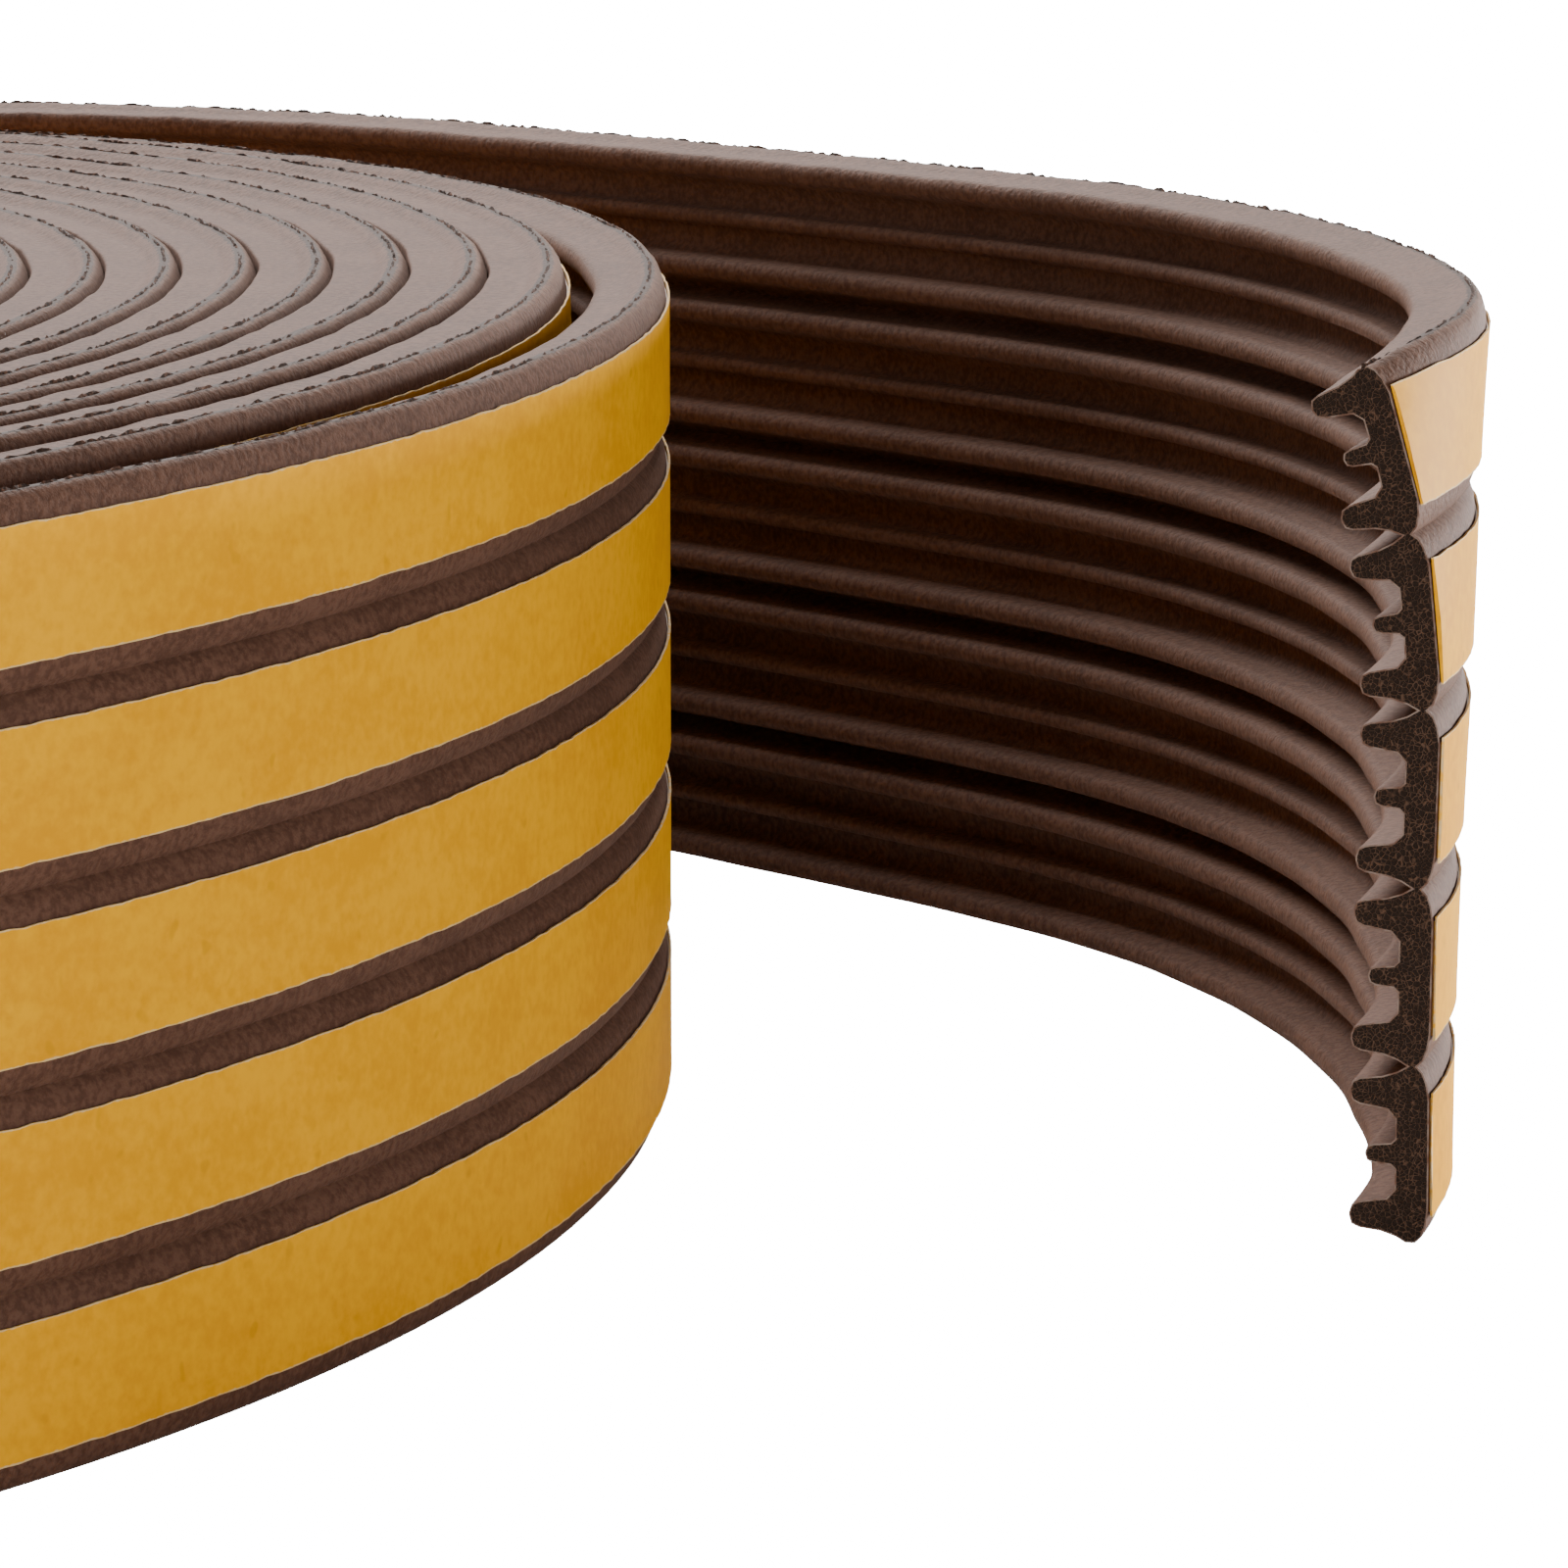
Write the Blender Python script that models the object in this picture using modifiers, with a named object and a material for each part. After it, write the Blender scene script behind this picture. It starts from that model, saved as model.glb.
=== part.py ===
"""Self-adhesive window seal: a coil of five-lane E-profile foam strip with a free tail.

Metres, +Z up. The coil stands on its end. Seen from above the strip winds outward clockwise, its
ribs face the coil's axis, and each lane's adhesive face, with its release paper, looks outward.
The paths are worked out about the coil's axis, and the finished part is then centred in plan.
"""
import math

import bmesh
import bpy
import numpy as np

# One lane of E-profile, and the strip of lanes
LANES = 5
LANE_WIDTH = 0.009
LANE_DEPTH = 0.004
WALL = 0.0017            # foam behind the adhesive face
LEG_DROP = 0.0008        # from the lane's edge to its leg's tip
LEG_WIDTH = 0.0011       # each outer leg, at its tip
LEG_FLARE = 0.0006       # the leg's inner side is wider by this at its root
RIB_DEPTH = 0.0032       # the middle rib is shorter than the legs
RIB_WIDTH = 0.0008
RIB_FLARE = 0.0003
EDGE_ROUND = 0.0012      # rounded corner of the adhesive face, along the face
NECK_SETBACK = 0.0006    # the tear-off neck lies this far behind the adhesive face
NECK_THICKNESS = 0.0006

# Release paper, with the adhesive film's room under it
PAPER_WIDTH = 0.0063
PAPER_THICKNESS = 0.00015
ADHESIVE_FILM = 0.0002

# Turned core: the turns under the outermost one
CORE_TURNS = 13
TURN_PITCH = 0.0042
CORE_RADIUS = 0.1103
TURN_GROOVE = 0.0011     # depth of the groove between two turns, on both ends
CREST_SETBACK = 0.0009   # a turn's crest lies this far inside its outer face
SEGMENTS = 30            # facets around the coil
FACETS_FROM = math.radians(-2.7)  # the facets are counted from this angle

# Outermost turn, by facets, counted anticlockwise
START_FACET = 9          # it rises out of the core here and goes clockwise
RISE_FACETS = 4
LEAVE_FACET = -20        # the tail leaves here
START_BURY = 0.0022      # the first station lies this far inside the core
START_SLACK = 0.0009     # room between the core and the legs' tips, where the rise ends
LEAVE_SLACK = 0.0019     # the same room where the tail leaves

# Tail: arcs to the right, as length, radius and number of facets
TAIL_ARCS = (
    (0.0965, 0.1475, 4),
    (0.070, 0.107, 4),
    (0.053, 0.632, 2),
    (0.0735, 0.103, 4),
    (0.015, 0.059, 2),
)
TAIL_LEAN = 0.0035       # the tail's top edge leans outward by this at most
LEAN_ARC = math.radians(150)  # along the tail the lean follows a sine as far as this angle
END_CURL = 0.0043        # the top edge curls inward by this at the cut end
CURL_LANES = 2.3         # how many lanes the curl takes in
CURL_LENGTH = 0.028      # and how far along the tail

PLAN_OFFSET = (-0.0003, 0.0003)  # keeps each node's outline from being symmetric about the origin

FOAM_BROWN = (0.095, 0.066, 0.052, 1)
PAPER_YELLOW = (0.72, 0.47, 0.12, 1)

STRIP_HEIGHT = LANES * LANE_WIDTH


def facet_angle(facet):
    return FACETS_FROM + facet * 2 * math.pi / SEGMENTS


def make_collection(name):
    collection = bpy.data.collections.new(name)
    bpy.context.scene.collection.children.link(collection)
    return collection


def make_material(name, colour, roughness):
    material = bpy.data.materials.new(name)
    material.use_nodes = True
    shader = material.node_tree.nodes["Principled BSDF"]
    shader.inputs["Base Color"].default_value = colour
    shader.inputs["Roughness"].default_value = roughness
    shader.inputs["Metallic"].default_value = 0.0
    return material


def smooth_step(t):
    t = min(max(t, 0.0), 1.0)
    return t * t * (3 - 2 * t)


def lane_outer_side(top):
    """Adhesive side of one lane, from its upper neck down, as depth and height."""
    corner = (0.3 * NECK_SETBACK, 0.3 * EDGE_ROUND)
    return [
        (NECK_SETBACK, top),
        (corner[0], top - corner[1]),
        (0.0, top - EDGE_ROUND),
        (0.0, top - LANE_WIDTH + EDGE_ROUND),
        (corner[0], top - LANE_WIDTH + corner[1]),
    ]


def lane_inner_side(top, with_rib=True):
    """Ribbed side of one lane, from its upper neck down: leg, wall, middle rib, wall, leg."""
    middle = LANE_WIDTH / 2
    upper_half = [
        (NECK_SETBACK + NECK_THICKNESS, 0.0),
        (LANE_DEPTH, LEG_DROP),
        (LANE_DEPTH, LEG_DROP + LEG_WIDTH),
        (WALL, LEG_DROP + LEG_WIDTH + LEG_FLARE),
    ]
    if with_rib:
        upper_half += [
            (WALL, middle - RIB_WIDTH / 2 - RIB_FLARE),
            (RIB_DEPTH, middle - RIB_WIDTH / 2),
        ]
    lower_half = [(depth, LANE_WIDTH - drop) for depth, drop in reversed(upper_half[1:])]
    return [(depth, top - drop) for depth, drop in upper_half + lower_half]


def strip_section():
    """Closed outline of all five lanes, as depth behind the adhesive face and height."""
    tops = [STRIP_HEIGHT - lane * LANE_WIDTH for lane in range(LANES)]
    outer = [point for top in tops for point in lane_outer_side(top)] + [(NECK_SETBACK, 0.0)]
    inner = [point for top in tops for point in lane_inner_side(top)]
    inner += [(NECK_SETBACK + NECK_THICKNESS, 0.0)]
    return outer + inner[::-1]


def paper_section(lane):
    """Closed outline of one lane's release paper. It lies in front of the adhesive face."""
    middle = STRIP_HEIGHT - (lane + 0.5) * LANE_WIDTH
    near = -ADHESIVE_FILM
    far = near - PAPER_THICKNESS
    low = middle - PAPER_WIDTH / 2
    high = middle + PAPER_WIDTH / 2
    return [(far, high), (far, low), (near, low), (near, high)]


def turn_stations():
    """Path of the outermost turn's adhesive face: plan point and heading at each facet."""
    stations = []
    last = START_FACET - LEAVE_FACET
    for step in range(last + 1):
        angle = facet_angle(START_FACET - step)
        around = (step - RISE_FACETS) / (last - RISE_FACETS)
        slack = START_SLACK + (LEAVE_SLACK - START_SLACK) * max(around, 0.0)
        outside = LANE_DEPTH + slack
        rise = smooth_step(step / RISE_FACETS)
        radius = CORE_RADIUS - START_BURY + (START_BURY + outside) * rise
        point = np.array([radius * math.cos(angle), radius * math.sin(angle)])
        stations.append((point, angle - math.pi / 2))
    return stations


def tail_stations(point, heading):
    """Path of the tail's adhesive face, arc by arc from where it leaves the coil."""
    stations = []
    for length, radius, facets in TAIL_ARCS:
        turned = length / radius / facets
        for _ in range(facets):
            chord = 2 * radius * math.sin(turned / 2)
            middle = heading - turned / 2
            point = point + chord * np.array([math.cos(middle), math.sin(middle)])
            heading -= turned
            stations.append((point, heading))
    stations[-1] = (point, middle)  # the cut is square to the last facet
    return stations


def inward(heading):
    """Horizontal direction from the adhesive face towards the ribs, on the right of travel."""
    return np.array([math.sin(heading), -math.cos(heading)])


def lengths_to_end(stations):
    """How far each station is from the cut end, along the strip."""
    points = np.array([point for point, _ in stations])
    steps = np.linalg.norm(np.diff(points, axis=0), axis=1)
    return np.append(np.cumsum(steps[::-1])[::-1], 0.0)


def outward_lean(height, to_end):
    """How far the tail's foam stands outward at a height: it leans back and its top lane curls in."""
    tail_length = sum(length for length, _, _ in TAIL_ARCS)
    along = 1 - to_end / tail_length
    lean = TAIL_LEAN * math.sin(LEAN_ARC * max(along, 0.0)) * (height / STRIP_HEIGHT) ** 2
    curl_height = CURL_LANES * LANE_WIDTH
    into_curl = max(height - (STRIP_HEIGHT - curl_height), 0.0) / curl_height
    near_end = max(1 - to_end / CURL_LENGTH, 0.0)
    return lean - END_CURL * into_curl ** 2 * near_end ** 2


def add_outline_curve(name, outline, collection):
    """Closed flat curve that serves as a swept section. Depth runs to the right of travel."""
    data = bpy.data.curves.new(name, "CURVE")
    data.dimensions = "2D"
    spline = data.splines.new("POLY")
    spline.points.add(len(outline) - 1)
    for spline_point, (depth, height) in zip(spline.points, outline):
        spline_point.co = (depth, height, 0, 1)
    spline.use_cyclic_u = True
    section = bpy.data.objects.new(name, data)
    collection.objects.link(section)
    return section


def split_alike(body, station_of):
    """Cut each upright quad from its lower corner at one station to its upper corner at the next.

    A thin piece's two faces then twist alike and can't pass through each other.
    """
    for face in list(body.faces):
        first = min(station_of[corner] for corner in face.verts)
        here = [corner for corner in face.verts if station_of[corner] == first]
        there = [corner for corner in face.verts if station_of[corner] != first]
        if len(here) != 2 or len(there) != 2:
            continue
        lower = min(here, key=lambda corner: corner.co.z)
        upper = max(there, key=lambda corner: corner.co.z)
        if upper.co.z - lower.co.z > PAPER_THICKNESS:
            bmesh.utils.face_split(face, lower, upper)


def sweep(name, outline, stations, collection, guides):
    """Mesh object swept along the stations with closed ends, leaned as the tail is."""
    section = add_outline_curve(name + "_section", outline, guides)
    data = bpy.data.curves.new(name + "_path", "CURVE")
    data.dimensions = "3D"
    data.twist_mode = "Z_UP"
    spline = data.splines.new("POLY")
    spline.points.add(len(stations) - 1)
    for spline_point, (point, _) in zip(spline.points, stations):
        spline_point.co = (point[0], point[1], 0, 1)
    data.bevel_mode = "OBJECT"
    data.bevel_object = section
    data.use_fill_caps = True
    curve = bpy.data.objects.new(name + "_path", data)
    collection.objects.link(curve)
    bpy.context.view_layer.update()
    evaluated = curve.evaluated_get(bpy.context.evaluated_depsgraph_get())
    mesh = bpy.data.meshes.new_from_object(evaluated)
    bpy.data.objects.remove(curve)
    bpy.data.objects.remove(section)
    mesh.name = name

    body = bmesh.new()
    body.from_mesh(mesh)
    bmesh.ops.remove_doubles(body, verts=body.verts, dist=0.000001)
    plan = np.array([point for point, _ in stations])
    to_end = lengths_to_end(stations)
    station_of = {}
    for vertex in body.verts:
        nearest = int(np.argmin(np.linalg.norm(plan - np.array(vertex.co[:2]), axis=1)))
        station_of[vertex] = nearest
        shift = -outward_lean(vertex.co.z, to_end[nearest]) * inward(stations[nearest][1])
        vertex.co.x += shift[0]
        vertex.co.y += shift[1]
    split_alike(body, station_of)
    bmesh.ops.recalc_face_normals(body, faces=body.faces)
    body.to_mesh(mesh)
    body.free()
    swept = bpy.data.objects.new(name, mesh)
    collection.objects.link(swept)
    return swept


def core_profile():
    """Half section of the turned core, from the bottom of its outer side up its bore and round."""
    bore_radius = CORE_RADIUS - CORE_TURNS * TURN_PITCH
    top = []
    for turn in reversed(range(CORE_TURNS)):
        face = CORE_RADIUS - turn * TURN_PITCH
        top += [(face - CREST_SETBACK, STRIP_HEIGHT), (face, STRIP_HEIGHT - TURN_GROOVE)]
    bottom = [(radius, STRIP_HEIGHT - height) for radius, height in reversed(top)]
    # the innermost turn's legs line the bore; its middle ribs are left out
    tops = [STRIP_HEIGHT - lane * LANE_WIDTH for lane in range(LANES)]
    ribbed = [point for lane_top in tops for point in lane_inner_side(lane_top, with_rib=False)][1:]
    bore = [(bore_radius + LANE_DEPTH - depth, height) for depth, height in reversed(ribbed)]
    return bottom + bore + top


def add_core(name, collection):
    outline = core_profile()
    mesh = bpy.data.meshes.new(name)
    start = facet_angle(0)
    corners = [(radius * math.cos(start), radius * math.sin(start), height) for radius, height in outline]
    edges = [(index, (index + 1) % len(corners)) for index in range(len(corners))]
    mesh.from_pydata(corners, edges, [])
    core = bpy.data.objects.new(name, mesh)
    collection.objects.link(core)
    screw = core.modifiers.new("turned", "SCREW")
    screw.steps = SEGMENTS
    screw.render_steps = SEGMENTS
    screw.use_merge_vertices = True
    screw.merge_threshold = 0.00001
    return core


def join(target, tool):
    union = target.modifiers.new("join " + tool.name, "BOOLEAN")
    union.operation = "UNION"
    union.solver = "EXACT"
    union.object = tool
    tool.hide_render = True
    tool.display_type = "WIRE"


def paper_stations(stations):
    """The stretch whose adhesive face is clear of the core."""
    radii = [np.linalg.norm(point) for point, _ in stations]
    first = next(index for index, radius in enumerate(radii) if radius > CORE_RADIUS + ADHESIVE_FILM)
    return stations[first:]


def centre_in_plan(objects, swept):
    """Put the middle of the plan outline, which the swept pieces reach, almost at the origin."""
    corners = np.array([vertex.co[:2] for item in swept for vertex in item.data.vertices])
    middle = (corners.min(axis=0) + corners.max(axis=0)) / 2
    for item in objects:
        item.location = (PLAN_OFFSET[0] - middle[0], PLAN_OFFSET[1] - middle[1], 0)


def main():
    for item in list(bpy.data.objects):
        bpy.data.objects.remove(item, do_unlink=True)
    seal = make_collection("window_seal")
    tools = make_collection("tools")
    foam = make_material("foam_brown", FOAM_BROWN, 0.9)
    paper = make_material("paper_yellow", PAPER_YELLOW, 0.45)

    stations = turn_stations()
    stations += tail_stations(*stations[-1])

    strip = add_core("seal_strip", seal)
    loose = sweep("loose_strip", strip_section(), stations, tools, tools)
    join(strip, loose)
    strip.data.materials.append(foam)
    loose.data.materials.append(foam)

    papers = []
    for lane in range(LANES):
        name = "liner_" + str(lane + 1)
        liner = sweep(name, paper_section(lane), paper_stations(stations), seal, tools)
        liner.data.materials.append(paper)
        papers.append(liner)

    swept = [loose] + papers
    centre_in_plan([strip] + swept, swept)


main()
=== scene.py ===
import math

import bpy
import numpy as np
from mathutils import Matrix


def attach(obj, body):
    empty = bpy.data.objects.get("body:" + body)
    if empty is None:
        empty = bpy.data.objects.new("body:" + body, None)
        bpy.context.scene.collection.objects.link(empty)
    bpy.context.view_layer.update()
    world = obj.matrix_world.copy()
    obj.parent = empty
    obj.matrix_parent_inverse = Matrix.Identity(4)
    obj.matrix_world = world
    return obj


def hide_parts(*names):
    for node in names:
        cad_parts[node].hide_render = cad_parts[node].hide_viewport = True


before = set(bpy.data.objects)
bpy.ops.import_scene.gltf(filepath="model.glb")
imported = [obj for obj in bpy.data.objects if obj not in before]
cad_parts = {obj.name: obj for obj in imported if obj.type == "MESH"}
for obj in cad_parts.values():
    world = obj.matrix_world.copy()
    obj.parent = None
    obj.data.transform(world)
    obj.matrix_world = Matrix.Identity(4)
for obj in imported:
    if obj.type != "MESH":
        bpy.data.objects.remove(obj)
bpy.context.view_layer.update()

# Everything is in metres. The strip is followed from the bore outwards, and its outermost turn
# starts where "turned" is 0. It runs clockwise seen from above.
coil = {
    "axis": (-0.0211448, -0.0027445),    # middle of the bore, in plan
    "startAngle": math.radians(105.3),   # the outermost turn starts here
    "startRadius": 0.1123,
    "pitch": 0.0042,
    "woundTurns": 13.03,
    "samples": 4800,                     # points that the coiled part of the line is followed by
    "mandrelRadius": 0.0595,             # adhesive face of the innermost turn, wound on a round mandrel
    "stepShare": 0.09,                   # each inner turn climbs over the strip's start in this part of it
    "stepTurns": 8,                      # and the climb has evened out after so many turns
    "outOfRound": 0.0015,                # the wound turns bulge by this towards bulgeAngle
    "bulgeAngle": math.radians(-80),
    "bulgePower": 1.5,                   # a higher one keeps the bulge closer to that angle
    "bulgeTurns": 6,                     # and it has grown to its full size after so many turns
    "rise": math.radians(48),            # the outermost turn works loose over this angle
    "looseRadius": (0.1152, 0.1162),     # its adhesive face after that, and where the tail leaves
    "outermostTurn": math.radians(348),
    "dome": 0.0008,                      # the inner turns stand higher by this
    "footIn": 0.0013,                    # the outermost turn's foot is tighter on the right by this
    "footAngle": math.radians(5),
    "footReach": math.radians(58),
}

tail = {
    "arcs": ((0.0965, 0.1475), (0.070, 0.107), (0.053, 0.632), (0.0735, 0.103), (0.015, 0.059)),
    "lean": 0.0035,                      # the top edge leans outward by this at most
    "leanArc": math.radians(150),
    "curl": 0.0043,                      # and curls inward by this at the cut end
    "curlLanes": 2.3,
    "curlLength": 0.028,
    # the foot stands inward by the second row at these shares of the tail
    "footIn": ((0.5, 0.75, 0.92, 1.0), (0.0, 0.0006, 0.0014, 0.0007)),
    "sinkShare": 0.6,                    # how much of its height the leaning edge loses
    "unsqueeze": 0.030,                  # the ribs spring back over this length
    "sampleLength": 0.0005,              # the line is followed in steps of this
}

lane = {
    "count": 5,
    "width": 0.009,
    "depth": 0.004,
    "neck": (0.00065, 0.00115),          # torn or whole neck between lanes, from and to this depth
    "shoulder": ((0.00012, 0.00025), (0.0, 0.0017)),  # rounding from the neck to the adhesive face
    "wall": 0.0017,
    # half of the ribbed side, from the neck to the lane's middle, as depth, drop and softness
    "ribs": (
        (0.0020, 0.00050, 0.0004),
        (0.0040, 0.00075, 0.0005),
        (0.0040, 0.00195, 0.0005),
        (0.0017, 0.00230, 0.0004),
        (0.0017, 0.00392, 0.0002),
        (0.0032, 0.00406, 0.0004),
    ),
    # wound turns press their legs up: the tip as depth, drop and softness, and the leg's plain side
    "pressedLeg": (0.0040, 0.00030, 0.00022),
    "pressedSide": (0.0040, 0.0040),
    "pressedLift": 0.00030,              # the outermost turn's upper leg stands higher by this at its tip
    "pressedAt": 0.06,                   # once it is squeezed by this share
    "pressedReach": (0.0022, 0.0010),    # and this lifts what is less than so far from the top, softly
    "squeezed": (0.0030, 0.0044),        # the least and the greatest room that a turn's ribs take up
    "clearance": 0.00005,                # between the ribs and the paper of the turn inside
    "overlap": 0.00003,                  # with the turn inside, where its paper isn't modelled
}

paper = {
    "width": 0.0063,
    "thickness": 0.00010,
    "film": 0.00007,                     # adhesive between the paper and the foam
    "filmWidth": 0.0058,
    "spacing": 0.0009,
    "fray": 0.00004,                     # how far the slit edges wander
    "cutWave": 0.00016,                  # and how far the cut end does
    "edgeWaves": (0.0031, 0.0052, 0.013),  # the slit edges wander in waves of these lengths
    "edgeBurr": 0.00002,                 # and stand proud by up to this
    "endLift": (0.004, 0.00006),         # the last stretch comes away from the foam, over and by
    "startTurn": -1.05,                  # the papers of deeper turns don't show
    "startBlend": 0.05,                  # and the strip closes up over this part of a turn
    "filmSpacing": 0.004,
    "filmShort": 0.0002,                 # the film ends this far from the cut
}

stripHeight = lane["count"] * lane["width"]


def smoothStep(share):
    share = np.clip(share, 0.0, 1.0)
    return share * share * (3 - 2 * share)


def ripple(along, waves, seed):
    # smooth noise between about -1 and 1 along the strip, from a few sine waves
    random = np.random.default_rng(seed)
    total = np.zeros_like(along)
    for wave in waves:
        total += np.sin(2 * math.pi * along / (wave * random.uniform(0.9, 1.1)) + random.uniform(0, 6.3))
    return total / math.sqrt(len(waves) * 2)


print("The strip's line: wound turns, outermost turn and tail")


def spiralRadius(turned):
    # from the bore's middle to the adhesive face
    angle = coil["startAngle"] - turned
    facing = 0.5 + 0.5 * np.cos(angle - coil["bulgeAngle"])
    turns = np.maximum(turned / (2 * math.pi) + coil["woundTurns"], 0.0)
    even = coil["startRadius"] + coil["pitch"] * (turns - coil["woundTurns"])
    whole = np.floor(turns)
    climb = smoothStep((turns - whole - 1) / coil["stepShare"] + 1)
    stepped = coil["mandrelRadius"] + coil["pitch"] * (whole + climb)
    wound = even + (stepped - even) * np.clip(1 - (turns - 1) / coil["stepTurns"], 0.0, 1.0)
    wound = wound + coil["outOfRound"] * facing ** coil["bulgePower"] * smoothStep(turns / coil["bulgeTurns"])
    share = np.clip((turned - coil["rise"]) / (coil["outermostTurn"] - coil["rise"]), 0.0, 1.0)
    nearRadius, farRadius = coil["looseRadius"]
    loose = nearRadius + (farRadius - nearRadius) * share
    return wound + (loose - wound) * smoothStep(turned / coil["rise"])


def ribRoom(turned):
    # how deep the ribs may stand before they meet the paper of the turn inside
    inside = spiralRadius(turned - 2 * math.pi)
    room = spiralRadius(turned) - inside - paper["film"] - paper["thickness"] - lane["clearance"]
    # turns whose papers aren't modelled stand against each other, so that nothing shines through
    bare = smoothStep((paper["startTurn"] + 1 - turned / (2 * math.pi)) / paper["startBlend"])
    closed = spiralRadius(turned) - inside + lane["overlap"]
    room = np.minimum(room, lane["depth"]) * (1 - bare) + closed * bare
    room = np.where(turned < (1 - coil["woundTurns"]) * 2 * math.pi, lane["depth"], room)
    return np.clip(room, *lane["squeezed"])


def followStrip():
    turned = np.linspace(-coil["woundTurns"] * 2 * math.pi, coil["outermostTurn"], coil["samples"])
    angle = coil["startAngle"] - turned
    radius = spiralRadius(turned)
    plan = [np.column_stack([radius * np.cos(angle), radius * np.sin(angle)])]
    point = plan[0][-1]
    heading = angle[-1] - math.pi / 2
    for length, bend in tail["arcs"]:
        count = round(length / tail["sampleLength"])
        headings = heading - length / bend * (np.arange(count) + 0.5) / count
        steps = np.column_stack([np.cos(headings), np.sin(headings)]) * length / count
        plan.append(point + np.cumsum(steps, axis=0))
        point = plan[-1][-1]
        heading -= length / bend
    plan = np.concatenate(plan)
    lengths = np.append(0.0, np.cumsum(np.linalg.norm(np.diff(plan, axis=0), axis=1)))
    depths = np.append(ribRoom(turned), np.zeros(len(plan) - len(turned)))
    tailLength = sum(length for length, _ in tail["arcs"])
    toEnd = lengths[-1] - lengths
    springs = smoothStep((tailLength - toEnd) / tail["unsqueeze"])
    sprung = depths[len(turned) - 1] * (1 - springs) + lane["depth"] * springs
    depths = np.where(toEnd < tailLength, sprung, depths)
    pressed = smoothStep((1 - depths / lane["depth"]) / lane["pressedAt"])
    pressed = pressed * np.where(toEnd < tailLength, 1 - springs, 1.0)
    allTurned = np.append(turned, np.full(len(plan) - len(turned), coil["outermostTurn"]))
    start = np.interp(0.0, allTurned[:len(turned)], lengths[:len(turned)])
    slopes = np.gradient(plan, lengths, axis=0)
    off = np.abs((coil["startAngle"] - allTurned - coil["footAngle"] + math.pi) % (2 * math.pi) - math.pi)
    foot = coil["footIn"] * smoothStep(1 - off / coil["footReach"])
    onTail = np.clip((tailLength - toEnd) / tailLength, 0.0, 1.0)
    foot = np.where((allTurned > 0) & (onTail == 0), foot, np.interp(onTail, *tail["footIn"]))
    return {
        "along": lengths - start,
        "x": plan[:, 0] + coil["axis"][0],
        "y": plan[:, 1] + coil["axis"][1],
        "heading": np.unwrap(np.arctan2(slopes[:, 1], slopes[:, 0])),
        "depth": depths / lane["depth"],
        "rise": coil["dome"] * (1 - smoothStep(allTurned / (2 * math.pi) + 1)),
        "foot": foot,
        "pressed": pressed,
        "toEnd": toEnd,
        "turned": allTurned,
        "tailLength": tailLength,
    }


stripLine = followStrip()


def alongAt(turned):
    line = stripLine
    coiled = line["toEnd"] >= line["tailLength"] - 1e-9
    return float(np.interp(turned, line["turned"][coiled], line["along"][coiled]))


def stationsAt(along):
    line = stripLine
    keys = ("x", "y", "heading", "depth", "rise", "foot", "pressed", "toEnd")
    stations = {key: np.interp(along, line["along"], line[key]) for key in keys}
    stations["along"] = along
    return stations


def evenly(start, end, spacing):
    return np.linspace(start, end, max(round((end - start) / spacing), 1) + 1)


def leanOut(height, toEnd):
    # how far the tail stands outward at a height, and how steeply that grows with height
    onTail = np.clip(1 - toEnd / stripLine["tailLength"], 0.0, 1.0)
    leaning = tail["lean"] * np.sin(tail["leanArc"] * onTail)
    curlHeight = tail["curlLanes"] * lane["width"]
    into = np.clip(height - stripHeight + curlHeight, 0.0, None) / curlHeight
    curling = tail["curl"] * np.clip(1 - toEnd / tail["curlLength"], 0.0, 1.0) ** 2
    out = leaning * (height / stripHeight) ** 2 - curling * into ** 2
    slope = 2 * leaning * height / stripHeight ** 2 - 2 * curling * into / curlHeight
    return out, slope


def placeOnStrip(stations, depth, height):
    # depth and height are one row of values for each station, or one row for all
    toEnd = stations["toEnd"][:, None]
    base = np.clip(height, 0.0, stripHeight)
    out, slope = leanOut(base, toEnd)
    tilt = np.arctan(slope)
    deep = depth * np.where(depth > 0, stations["depth"][:, None], 1.0)
    inwardX = np.sin(stations["heading"])[:, None]
    inwardY = -np.cos(stations["heading"])[:, None]
    footed = stations["foot"][:, None] * (1 - base / stripHeight)
    across = deep * np.cos(tilt) - out + footed
    sink = np.clip(base - stripHeight / 2, 0.0, None) * (1 - np.cos(tilt)) * tail["sinkShare"]
    up = height + deep * np.sin(tilt) - sink + stations["rise"][:, None]
    x = stations["x"][:, None] + across * inwardX
    y = stations["y"][:, None] + across * inwardY
    return np.stack([x, y, up + np.zeros_like(x)], axis=-1)


print("Sections of the strip and of its papers")


def softCorner(before, corner, after, reach, steps):
    # quadratic curve round a corner, from reach before it to reach after it
    before, corner, after = (np.array(point, float) for point in (before, corner, after))
    start = corner + (before - corner) / np.linalg.norm(before - corner) * reach
    end = corner + (after - corner) / np.linalg.norm(after - corner) * reach
    return [(1 - t) ** 2 * start + 2 * t * (1 - t) * corner + t * t * end for t in np.linspace(0, 1, steps + 1)]


def shoulderPoints(steps):
    neck = np.array([lane["neck"][0], 0.0])
    control, face = (np.array(point) for point in lane["shoulder"])
    return [(1 - t) ** 2 * neck + 2 * t * (1 - t) * control + t * t * face for t in np.linspace(0, 1, steps + 1)]


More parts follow.
